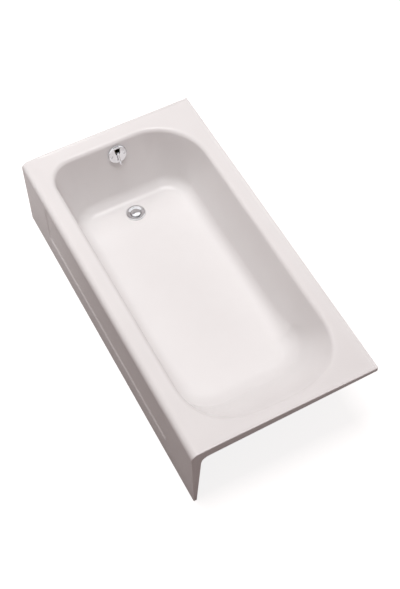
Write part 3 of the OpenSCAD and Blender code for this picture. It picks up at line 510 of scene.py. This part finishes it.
def rimRing(inset, frontInset):
    points = []
    backRadius = max(tub["backCorner"] - inset, tub["leastCorner"])
    frontRadius = max(tub["frontCorner"], frontInset * 0.5)
    for _, _, outer, _ in columns:
        x, y = onRectangle(outer, inset, frontInset, backRadius, frontRadius)
        points.append(Vector((x, y, showHeight(x, y))))
    return points


def underRing(inset, frontInset):
    points = []
    for _, _, outer, _ in columns:
        x, y = onRectangle(outer, inset, frontInset, 0, 0)
        points.append(Vector((x, y, innerHeight(x, y))))
    return points


# A column's section through the basin: its mouth, foot, inward way, steepness and cove
def wallSection(mouth, foot, _, facing):
    run = (foot - mouth).dot(-facing)
    rise = mouthTop - floorAt(foot.x)
    along = (foot.x - tub["floorX"][0]) / (tub["floorX"][1] - tub["floorX"][0])
    lean = ease((along - tub["backrestFrom"]) / (1 - tub["backrestFrom"]))
    cove = mix(tub["cove"], tub["backrestCove"], lean)
    return mouth, foot, -facing, math.atan2(rise, run), cove


sections = [wallSection(*column) for column in columns]


# A ring on the rounding from the deck into the basin
def rollRing(share, radius):
    points = []
    for mouth, _, way, steep, _ in sections:
        out = tub["mouthRoll"] * math.tan(steep / 2) - radius * math.sin(steep * share)
        p = mouth - way * out
        points.append(Vector((p.x, p.y, mouthTop - tub["mouthRoll"] + radius * math.cos(steep * share))))
    return points


# A ring on the cove from the wall to the floor
def coveRing(share, extra):
    points = []
    for _, foot, way, steep, cove in sections:
        angle = steep * (1 - share)
        p = foot + way * (cove * math.tan(steep / 2) - (cove + extra) * math.sin(angle))
        level = floorAt(mix(foot.x, p.x, share))
        points.append(Vector((p.x, p.y, level + cove - (cove + extra) * math.cos(angle))))
    return points


# A circle about the drain, its points part way between even turns and the ways to the floor's edge
def drainRing(radius, z=None, drop=0.0):
    looks = [math.atan2(p.y - tub["drain"].y, p.x - tub["drain"].x) for p in coveRing(1, 0)]
    placed = []
    turned = 0
    for k, look in enumerate(looks):
        if k > 0:
            turned += (look - looks[k - 1] + math.pi) % (2 * math.pi) - math.pi
        even = 2 * math.pi * k / columnCount
        angle = looks[0] + mix(turned, even, 0.55)
        x = tub["drain"].x + radius * math.cos(angle)
        y = tub["drain"].y + radius * math.sin(angle)
        placed.append(Vector((x, y, floorAt(x) - drop if z is None else z)))
    return placed


def between(ringA, ringB, share):
    return [a.lerp(b, share) for a, b in zip(ringA, ringB)]


# Rings over the enamelled side: skirt, rim, deck, basin, floor and the drain's well
rings = [skirtRing(share) for share in rowShares]
rimInsets = [0.0003, 0.0009, 0.0018, 0.0030, 0.0045, 0.0062, 0.0080, 0.0098, 0.0116]
for k, inset in enumerate(rimInsets):
    turn = math.radians(90 * (k + 1) / len(rimInsets))
    rings.append(rimRing(inset, tub["apronRoll"] * (1 - math.cos(turn))))
rings += [rimRing(*insets) for insets in ((0.0132, 0.031), (0.0148, 0.034), (0.018, 0.038))]
rollHead = rollRing(0, tub["mouthRoll"])
rings += [between(rings[-1], rollHead, share) for share in (0.3, 0.6, 0.85)]
rings += [rollRing(k / 10, tub["mouthRoll"]) for k in range(11)]
wallHead, wallFoot = rings[-1], coveRing(0, 0)
rings += [between(wallHead, wallFoot, share) for share in (0.12, 0.25, 0.38, 0.5, 0.62, 0.75, 0.88)]
rings += [coveRing(k / 14, 0) for k in range(15)]
floorEdge, drainEdge = rings[-1], drainRing(0.060)
rings += [between(floorEdge, drainEdge, share) for share in (0.12, 0.28, 0.45, 0.62, 0.8, 0.92)]
rings += [drainRing(radius, None, drop) for radius, drop in
          ((0.060, 0), (0.050, 0), (0.0445, 0), (0.0430, 0.0002), (0.0421, 0.0010), (0.042, 0.003))]
wellZ = tub["floorZ"] - tub["wellDepth"]
underZ = wellZ - tub["seatThick"]
rings += [drainRing(0.0418, wellZ), drainRing(tub["holeRadius"], wellZ)]
enamelCount = len(rings)

# Rings back over the bare iron underneath
rings += [drainRing(radius, z) for radius, z in ((tub["holeRadius"], underZ), (0.047, underZ),
                                                 (0.0498, underZ + 0.0004), (0.053, underZ + 0.0008))]
rings += [drainRing(radius, None, tub["skin"]) for radius in (0.057, 0.060)]
underEdge, underDrain = coveRing(1, tub["skin"]), rings[-1]
rings += [between(underDrain, underEdge, share) for share in (0.3, 0.6, 0.85)]
rings += [coveRing(1 - k / 8, tub["skin"]) for k in range(9)]
underFoot, underHead = rings[-1], rollRing(1, underRoll)
rings += [between(underFoot, underHead, share) for share in (0.25, 0.5, 0.75)]
rings += [rollRing(1 - k / 6, underRoll) for k in range(7)]
underMouth, underDeck = rings[-1], underRing(0.020, 0.034)
rings += [between(underMouth, underDeck, share) for share in (0.35, 0.7, 1)]
for k in range(1, 7):
    bend = 1 - math.cos(math.radians(90 - 90 * k / 6))
    rings.append(underRing(tub["flange"] + tub["underRound"] * bend,
                           tub["skin"] + (tub["apronRoll"] - tub["skin"]) * bend))
rings += [innerRing(share) for share in reversed(rowShares[::2])]

bm = bmesh.new()
startEdges, startVerts = closedLoop(bm, rings[0])
edges, verts = startEdges, startVerts
for k, ring in enumerate(rings[1:], 1):
    edges, verts = nextRing(bm, edges, verts, ring, int(k >= enamelCount))
for k in range(columnCount):
    j = (k + 1) % columnCount
    bm.faces.new((verts[k], verts[j], startVerts[j], startVerts[k])).material_index = 1

# Bosses for the levelling feet, cast with the floor: radius and height, then radius and depth under the floor
boss = {
    "sink": 0.004, "foot": [(0.0062, 0.033), (0.0172, 0.033), (0.018, 0.0338)],
    "spread": [(0.0183, 0.014), (0.0195, 0.0095), (0.0225, 0.0062), (0.028, 0.0046), (0.033, 0.0041),
               (0.033, 0), (0.0062, 0)],
    "places": [(x, y) for x in (-0.4585, 0.3115) for y in (-0.159, 0.171)],
}
for footX, footY in boss["places"]:
    ceiling = floorAt(footX) - boss["sink"]
    outline = boss["foot"] + [(r, ceiling - depth) for r, depth in boss["spread"]]
    loop, verts = closedLoop(bm, [(footX + r, footY, z) for r, z in outline])
    before = set(bm.faces)
    bmesh.ops.spin(bm, geom=verts + loop, cent=(footX, footY, 0), axis=(0, 0, 1), angle=2 * math.pi,
                   steps=48, use_merge=True)
    for face in set(bm.faces) - before:
        face.material_index = 1

tubPiece = finishMesh(bm, "tub_casting", [enamel, iron], 50)

# The overflow's hole, its plate and screws, with outlines in radius and height out from the wall
overflow = {
    "place": Vector((-0.6735658, 0.006, 0.296082)), "lean": math.radians(13.9939),
    "holeRadius": 0.0315, "holeDepths": (-0.013, 0.006),
    "radius": 0.042, "rim": 0.007, "shoulder": 0.006, "dome": 0.0015,
    "back": [(0.042, 0.0034), (0.042, 0.0004), (0.0417, 0), (0.0408, 0), (0.0405, 0.0004), (0.0405, 0.0043),
             (0.0396, 0.0058), (0.0376, 0.00725), (0.020, 0.00725), (0, 0.00725)],
    "slot": ((-0.009, 0.002), (0.009, 0.002), (0.013, 0.030), (-0.013, 0.030)),
    "slotRound": 0.003, "slotDepths": (0.003, 0.020), "screwOffset": 0.0285, "screwSeat": 0.0101,
    "wellRadius": 0.0049, "wellMouth": 0.0052, "plateFront": 0.022, "pivot": (-0.006, 0.004),
    "shank": [(0, -0.025), (0.0021, -0.025), (0.0025, -0.0245)], "headRadius": 0.0046,
}
outward = Vector((math.cos(overflow["lean"]), 0, math.sin(overflow["lean"])))
upWall = Vector((-math.sin(overflow["lean"]), 0, math.cos(overflow["lean"])))


# A place given out from the drain wall, across it and up it
def onWall(out, across, up):
    return overflow["place"] + outward * out + Vector((0, across, 0)) + upWall * up


bm = bmesh.new()
holeRadius, (holeBack, holeFront) = overflow["holeRadius"], overflow["holeDepths"]
turnOutline(bm, [(0, holeBack), (holeRadius, holeBack), (holeRadius, holeFront), (0, holeFront)],
            overflow["place"], outward, 64)
cutter = finishMesh(bm, "overflow_cutter", [iron])
tubPiece = cutAway(tubPiece, cutter, 50)
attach(tubPiece, "tub")
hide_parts("tub_shell")
print("tub casting built", len(tubPiece.data.polygons))


# Overflow plate, a dome on a deep rim, with a slot for the lever and a well for each screw
faceRadius = overflow["radius"] - overflow["shoulder"]
domeRadius = (faceRadius ** 2 + overflow["dome"] ** 2) / (2 * overflow["dome"])
plateTop = overflow["rim"] + overflow["shoulder"] + overflow["dome"]
plateOutline = [(r, plateTop - domeRadius + math.sqrt(domeRadius ** 2 - r * r))
                for r in spread(0, faceRadius - 0.0006, 14)]
for turn in spread(math.radians(5), math.radians(90), 13):
    plateOutline.append((faceRadius + overflow["shoulder"] * math.sin(turn),
                         overflow["rim"] + overflow["shoulder"] * math.cos(turn)))
bm = bmesh.new()
turnOutline(bm, plateOutline + overflow["back"], overflow["place"], outward, 96)
platePiece = finishMesh(bm, "overflow_cover", [chrome], 45)
slotOutline = []
corners = [Vector(c) for c in overflow["slot"]]
for k in range(4):
    corner, before, after = corners[k], corners[k - 1], corners[(k + 1) % 4]
    start = corner + (before - corner).normalized() * overflow["slotRound"]
    end = corner + (after - corner).normalized() * overflow["slotRound"]
    for t in spread(0, 1, 6):
        slotOutline.append(start.lerp(corner, t).lerp(corner.lerp(end, t), t))
bm = bmesh.new()
skinRings(bm, [[onWall(out, y, z) for y, z in slotOutline] for out in overflow["slotDepths"]])
platePiece = cutAway(platePiece, finishMesh(bm, "slot_cutter", [chrome]), 45)
seat, wellRadius, wellMouth = (overflow[key] for key in ("screwSeat", "wellRadius", "wellMouth"))
screwCentres = [onWall(0, side * overflow["screwOffset"], 0) for side in (-1, 1)]
bm = bmesh.new()
for centre in screwCentres:
    turnOutline(bm, [(0, seat), (wellRadius, seat), (wellRadius, seat + 0.0028), (wellMouth, seat + 0.0036),
                     (wellMouth, overflow["plateFront"]), (0, overflow["plateFront"])], centre, outward, 40)
platePiece = cutAway(platePiece, finishMesh(bm, "screw_well_cutter", [chrome]), 45)
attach(platePiece, "tub")
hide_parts("overflow_plate")

# Plate screws with a domed, slotted head
headRadius = overflow["headRadius"]
headOutline = overflow["shank"] + [(0.0025, seat), (0.0044, seat), (headRadius, seat + 0.0003),
                                   (headRadius, seat + 0.001)]
headOutline += [(headRadius * math.cos(math.radians(a)), seat + 0.001 + 0.0016 * math.sin(math.radians(a)))
                for a in (15, 30, 45, 60, 75)]
headOutline.append((0, seat + 0.0026))
bm = bmesh.new()
for centre in screwCentres:
    turnOutline(bm, headOutline, centre, outward, 40)
screwPiece = finishMesh(bm, "plate_screws", [chrome])
bm = bmesh.new()
for side in (-1, 1):
    box = [onWall(seat + 0.0014, side * overflow["screwOffset"] + sy * 0.0006, sz * 0.006) for sy, sz in
           ((-1, -1), (1, -1), (1, 1), (-1, 1))]
    skinRings(bm, [box, [p + outward * 0.004 for p in box]])
screwPiece = cutAway(screwPiece, finishMesh(bm, "drive_cutter", [chrome]))
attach(screwPiece, "tub")
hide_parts("overflow_screws")
print("overflow plate built")

# Trip lever: handle out through the slot, hub on its pin, arm back to the linkage. The handle's way is out
# from the pin and up, and each outline is radius and half width
lever = {
    "path": [(0, 0.0005), (0.010, 0.0044), (0.0185, 0.0072), (0.0236, 0.0066), (0.0254, 0.0025),
             (0.0268, -0.004), (0.0290, -0.016), (0.0322, -0.030), (0.0346, -0.040), (0.0361, -0.0464)],
    "widths": [0.0094, 0.0094, 0.0098, 0.0098, 0.0096, 0.0088, 0.0080, 0.0080, 0.0088, 0.0056],
    "depths": [0.0070, 0.0056, 0.0046, 0.0042, 0.0040, 0.0038, 0.0034, 0.0032, 0.0030, 0.0020],
    "steps": 64, "tipSteps": 4, "hub": [(0.00205, -0.005), (0.0046, -0.005), (0.005, -0.0046),
                                         (0.005, 0.0046), (0.0046, 0.005), (0.00205, 0.005)],
    "arm": 0.034, "armTilt": math.radians(13), "armHeights": [(0.0022, 0.0055), (0.008, 0.0062),
                                                              (0.016, 0.0058), (0.026, 0.0054),
                                                              (0.0318, 0.0056)],
    "eye": [(0.0016, -0.002), (0.0027, -0.002), (0.003, -0.0017), (0.003, 0.0017), (0.0027, 0.002),
            (0.0016, 0.002)],
}
pivot = onWall(overflow["pivot"][0], 0, overflow["pivot"][1])


def leverPoint(out, across, up):
    return pivot + outward * out + Vector((0, across, 0)) + upWall * up


way = smoothWay([(a, b, 0) for a, b in lever["path"]], lever["steps"])
sizes = smoothWay([(a, b, 0) for a, b in zip(lever["widths"], lever["depths"])], lever["steps"])
rings = []
for k, spot in enumerate(way):
    ahead = (way[min(k + 1, len(way) - 1)] - way[max(k - 1, 0)]).normalized()
    normal = Vector((-ahead.y, ahead.x, 0))
    half, deep = sizes[k].x / 2, sizes[k].y / 2
    pastBar = k - (lever["steps"] - lever["tipSteps"] - 1)
    if pastBar > 0:
        shrink = math.sqrt(max(0.05, 1 - (pastBar / (lever["tipSteps"] + 0.3)) ** 2))
        half, deep = half * shrink, deep * shrink
    rings.append([leverPoint(spot.x + normal.x * d, a, spot.y + normal.y * d)
                  for a, d in roundedSection(half, deep, deep * 0.5)])
bm = bmesh.new()
skinRings(bm, rings)
turnOutline(bm, lever["hub"], pivot, (0, 1, 0), 48)
c, t = math.cos(lever["armTilt"]), math.sin(lever["armTilt"])
armBack, armUp = Vector((-c, 0, t)), Vector((t, 0, c))
skinRings(bm, [[pivot + armBack * along + Vector((0, a, 0)) + armUp * b
                for a, b in roundedSection(0.002, high / 2, 0.0009)] for along, high in lever["armHeights"]])
turnOutline(bm, lever["eye"], pivot + armBack * lever["arm"], (0, 1, 0), 40)
leverPiece = finishMesh(bm, "trip_lever_handle", [chrome])
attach(leverPiece, "trip_lever")
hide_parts("trip_lever")
print("trip lever built")

# Drain flange, with a step down to the seat, in radius and height
flange = [(0.0205, 0.041), (0.0234, 0.041), (0.0235, 0.0413), (0.0235, 0.059), (0.0407, 0.059),
          (0.041, 0.0593), (0.041, 0.0608), (0.0406, 0.0616), (0.0399, 0.0622), (0.0391, 0.06245),
          (0.0380, 0.0626), (0.0365, 0.06262), (0.0350, 0.0626), (0.0335, 0.06253), (0.0325, 0.06242),
          (0.0316, 0.0622), (0.0306, 0.06185), (0.0290, 0.0613), (0.0275, 0.0608), (0.0262, 0.06035),
          (0.0252, 0.0601), (0.0243, 0.05995), (0.0236, 0.0597), (0.0230, 0.0590), (0.0225, 0.0581),
          (0.0224, 0.0572), (0.0222, 0.0570), (0.0209, 0.0570), (0.0205, 0.0566)]
drainPlace = Vector((*tub["drain"], 0))
bm = bmesh.new()
turnOutline(bm, flange, drainPlace, (0, 0, 1), 96)
flangePiece = finishMesh(bm, "drain_strainer_flange", [chrome], 50)
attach(flangePiece, "tub")
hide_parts("drain_flange")

# The stopper's cap: underside and lip, rounded edge, shallow dome
cap = {
    "under": [(0.003, 0.05405), (0.005, 0.05405), (0.005, 0.05905), (0.0210, 0.05905), (0.0216, 0.0594),
              (0.0218, 0.0602), (0.0217, 0.0612)],
    "edge": (0.0195, 0.0619), "edgeRound": 0.0021, "top": 0.0660, "domeRise": 0.00205,
    "domeRadius": 0.0198, "socket": [(0, 0.0592), (0.003, 0.0592)],
}
capOutline = cap["under"] + [(cap["edge"][0] + cap["edgeRound"] * math.cos(math.radians(a)),
                              cap["edge"][1] + cap["edgeRound"] * math.sin(math.radians(a)))
                             for a in (0, 15, 30, 45, 60, 72)]
capOutline += [(r, cap["top"] - cap["domeRise"] * (r / cap["domeRadius"]) ** 2) for r in spread(0.018, 0, 10)]
capOutline += cap["socket"]
bm = bmesh.new()
turnOutline(bm, capOutline, drainPlace, (0, 0, 1), 96)
capPiece = finishMesh(bm, "stopper_dome", [chrome], 50)
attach(capPiece, "stopper")
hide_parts("stopper_cap")
print("drain built")

# Camera at the photograph's viewing angle
right = Vector((0.46382, 0.88573, -0.01883))
down = Vector((0.72738, -0.39286, -0.56266))
forward = Vector((-0.50576, 0.24728, -0.82647))
camera = bpy.data.objects.new("camera", bpy.data.cameras.new("camera"))
bpy.context.scene.collection.objects.link(camera)
camera.matrix_world = Matrix((
    (right.x, -down.x, -forward.x, 2.4914),
    (right.y, -down.y, -forward.y, -1.1790),
    (right.z, -down.z, -forward.z, 4.1609),
    (0, 0, 0, 1)))
camera.data.lens = 74.0
camera.data.sensor_width = 36
camera.data.clip_end = 100
camera.data.shift_x = 0.0017
bpy.context.scene.camera = camera

# Floor, which the camera sees as white with the bath's shadow on it
floorGlow = 0.85
floorDark, floorLight = (0.375, 0.352, 0.346), (0.395, 0.372, 0.366)
bm = bmesh.new()
bmesh.ops.create_grid(bm, x_segments=2, y_segments=2, size=12)
floor = finishMesh(bm, "studio_floor", [])
paper, tree, shader = nodeMaterial("studio_paper")
tree.nodes.remove(shader)
output = tree.nodes["Material Output"]
path = tree.nodes.new("ShaderNodeLightPath")
lift = tree.nodes.new("ShaderNodeMath")
lift.operation = "MULTIPLY"
lift.inputs[1].default_value = floorGlow
tree.links.new(path.outputs["Is Camera Ray"], lift.inputs[0])
glow = tree.nodes.new("ShaderNodeEmission")
glow.inputs["Color"].default_value = (1, 1, 1, 1)
tree.links.new(lift.outputs["Value"], glow.inputs["Strength"])
matte = tree.nodes.new("ShaderNodeBsdfDiffuse")
tree.links.new(colourBetween(tree, objectNoise(tree, 3), floorDark, floorLight), matte.inputs["Color"])
both = tree.nodes.new("ShaderNodeAddShader")
tree.links.new(matte.outputs["BSDF"], both.inputs[0])
tree.links.new(glow.outputs["Emission"], both.inputs[1])
tree.links.new(both.outputs["Shader"], output.inputs["Surface"])
floor.data.materials.append(paper)

# Dark cards over the bath and past its drain end, that only the gloss shows: a painted dark reflection that
# shades the plate's rim
cards = [((-0.5, 1.7), (-0.7, 1.7), (2.5, 2.52)), ((-2.52, -2.5), (-1.5, 2.4), (0.4, 2.5))]
bm = bmesh.new()
for (x0, x1), (y0, y1), heights in cards:
    skinRings(bm, [[(x0, y0, z), (x1, y0, z), (x1, y1, z), (x0, y1, z)] for z in heights])
# The cards borrow the rubber's dark colour to paint this dark reflection into the chrome
card = finishMesh(bm, "dark_cards", [rubber])
card.visible_camera = False
card.visible_diffuse = False
card.visible_shadow = False

# Pale surroundings, white to the camera and in the metal, and a dim warm light on the rest
world = bpy.data.worlds.new("surroundings")
world.use_nodes = True
bpy.context.scene.world = world
tree = world.node_tree
background = tree.nodes["Background"]
path = tree.nodes.new("ShaderNodeLightPath")
seen = path.outputs["Is Camera Ray"]
for name in ("Is Glossy Ray", "Is Transmission Ray"):
    added = tree.nodes.new("ShaderNodeMath")
    added.operation = "ADD"
    added.use_clamp = True
    tree.links.new(seen, added.inputs[0])
    tree.links.new(path.outputs[name], added.inputs[1])
    seen = added.outputs["Value"]
pick = tree.nodes.new("ShaderNodeMix")
pick.data_type = "RGBA"
pick.inputs["A"].default_value = (0.245, 0.184, 0.177, 1)
pick.inputs["B"].default_value = (1, 1, 1, 1)
tree.links.new(seen, pick.inputs["Factor"])
tree.links.new(pick.outputs["Result"], background.inputs["Color"])
background.inputs["Strength"].default_value = 1


# A soft box that lights the scene, or that only shows in the gloss of the pieces it shines on
def addLamp(name, place, target, size, power, lights, shines):
    light = bpy.data.lights.new(name, "AREA")
    light.shape = "RECTANGLE"
    light.size, light.size_y = size
    light.energy = power
    lamp = bpy.data.objects.new(name, light)
    bpy.context.scene.collection.objects.link(lamp)
    lamp.location = place
    lamp.rotation_euler = (Vector(target) - Vector(place)).to_track_quat("-Z", "Y").to_euler()
    lamp.visible_diffuse = lights
    lamp.visible_glossy = len(shines) > 0
    if shines:
        shone = bpy.data.collections.new(name + "_shone")
        for piece in shines:
            shone.objects.link(piece)
        lamp.light_linking.receiver_collection = shone


brightPieces = [leverPiece, flangePiece, capPiece]
lamps = [
    ("overhead", (-0.3, 0.0, 6.0), (0, 0, 0.2), (3.0, 2.6), 224, True, []),
    ("drain_side", (-2.0, -0.8, 3.0), (-0.3, 0, 0.3), (1.2, 1.0), 26, True, []),
    ("apron_near", (-0.85, -0.95, 0.30), (-0.55, -0.384, 0.2), (0.3, 0.3), 0.85, True, []),
    ("chrome_gloss", (-1.85, 0.6, 3.0), (-0.4, 0, 0.1), (2.2, 2.0), 5, False, brightPieces),
    ("enamel_gloss", (-0.3, 0.0, 6.0), (0, 0, 0.2), (3.0, 2.6), 150, False, [tubPiece]),
]
for lamp in lamps:
    addLamp(*lamp)

bpy.context.scene.view_settings.view_transform = "Standard"
print("scene ready")
